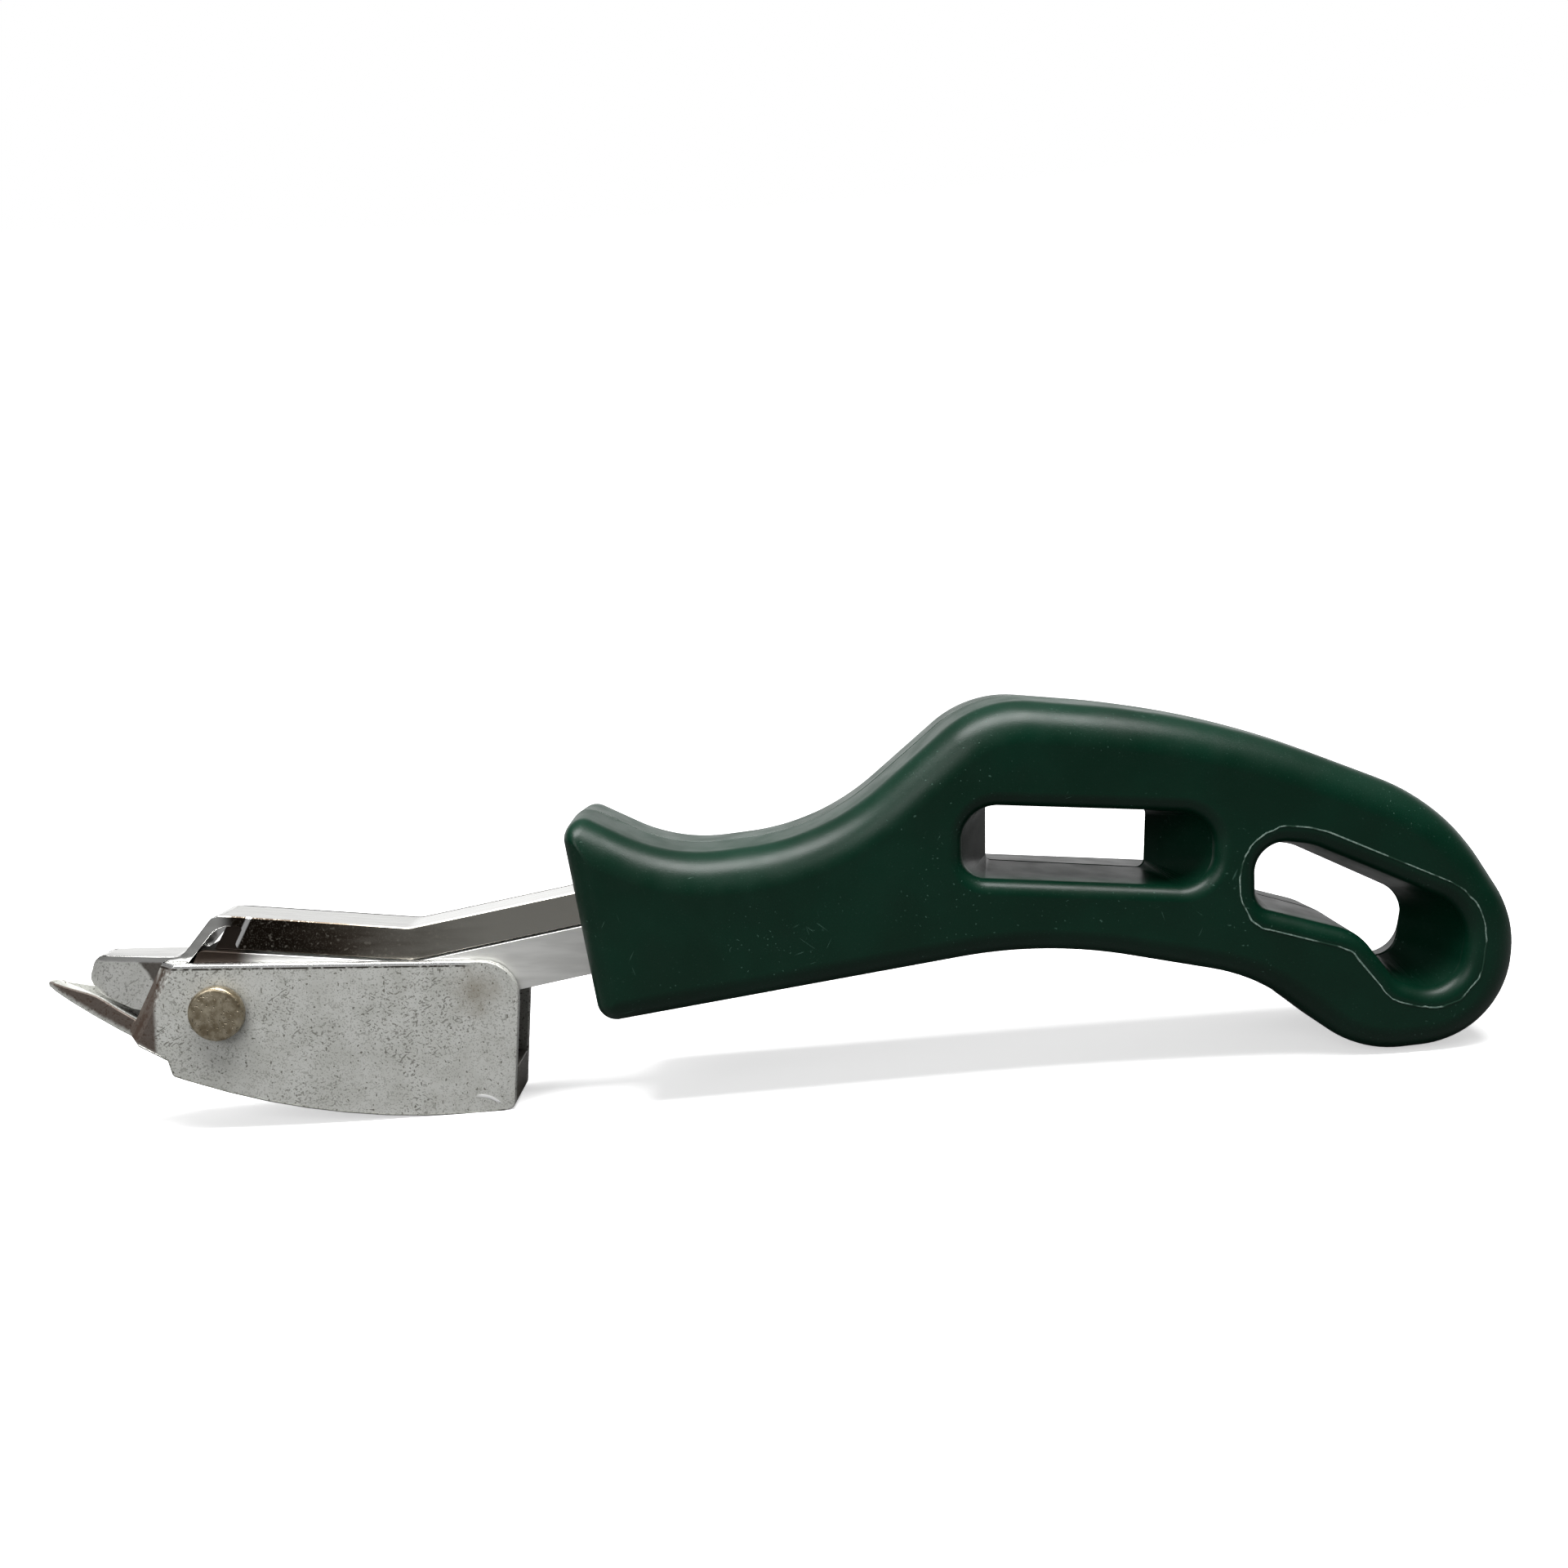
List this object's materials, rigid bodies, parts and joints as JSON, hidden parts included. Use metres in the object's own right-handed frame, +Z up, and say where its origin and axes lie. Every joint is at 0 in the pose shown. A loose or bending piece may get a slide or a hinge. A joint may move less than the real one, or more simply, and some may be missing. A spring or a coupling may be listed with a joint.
{
  "type": "staple puller",
  "caption": "Jaw-type staple puller: a pointed beak and spring-closed tongue on a rocking steel shoe, levered by a hollow plastic handle with through slots.",
  "frame": {"origin": "middle of the overall box, on the surface that the tool stands on", "axes": "+X from the beak to the heel of the handle, +Z up, +Y across the tool, away from the rivet's round head"},
  "size_m": [0.19, 0.024, 0.0484],
  "materials": {
    "handle_plastic": "satin",
    "cap_chrome": "bright plated",
    "arm_plating": "bright plated",
    "shoe_plating": "dull speckled plating",
    "rivet_brass": "dull plated",
    "sleeve_steel": "turned",
    "spring_steel": "drawn wire"
  },
  "bodies": {
    "lever": {"handle_half_left": "handle_plastic", "handle_half_right": "handle_plastic", "lever_cap": "cap_chrome", "lever_arm": "arm_plating"},
    "shoe": {"shoe": "shoe_plating", "pivot_rivet": "rivet_brass", "spacer_sleeve": "sleeve_steel", "torsion_spring": "spring_steel"}
  },
  "joints": [
    {"name": "jaw_pivot", "type": "hinge", "parent": "lever", "child": "shoe", "pos_m": [-0.07103, 0, 0.01616], "axis": [0, -1, 0], "range_deg": [0, 14], "stiffness_Nm_per_rad": 0.6, "springref_deg": -20.05, "deforming": ["torsion_spring"]}
  ]
}
